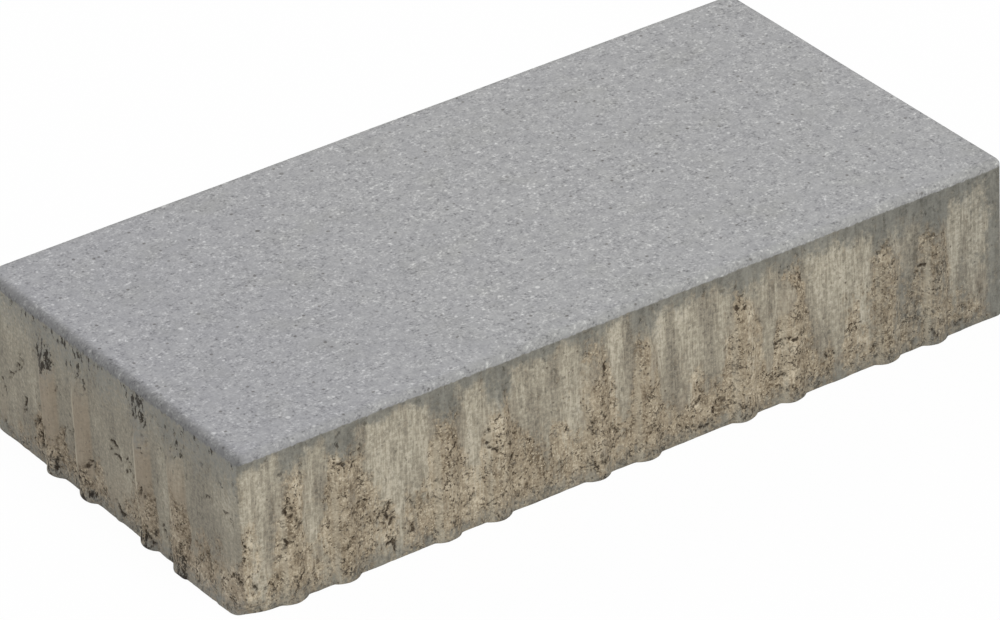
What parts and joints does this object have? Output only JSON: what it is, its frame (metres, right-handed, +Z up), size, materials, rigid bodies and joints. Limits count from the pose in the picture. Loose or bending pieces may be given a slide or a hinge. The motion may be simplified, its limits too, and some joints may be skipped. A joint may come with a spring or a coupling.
{
  "type": "concrete paving stone",
  "caption": "Rectangular concrete paving stone with a flat wearing face, a rounded top edge and pairs of upright spacer ribs on its sides that keep the joint to the next stone.",
  "frame": {"origin": "centre of the bed face, the underside on which the stone lies", "axes": "+X along the stone's length, +Y across its width, +Z up, out of the wearing face"},
  "size_m": [0.403, 0.203, 0.078],
  "materials": {
    "concrete": "matt pressed concrete: a fine-grained grey wearing face and drag-streaked, pitted, brownish sides"
  },
  "bodies": {
    "root": {"paving_stone": "concrete"}
  },
  "joints": []
}
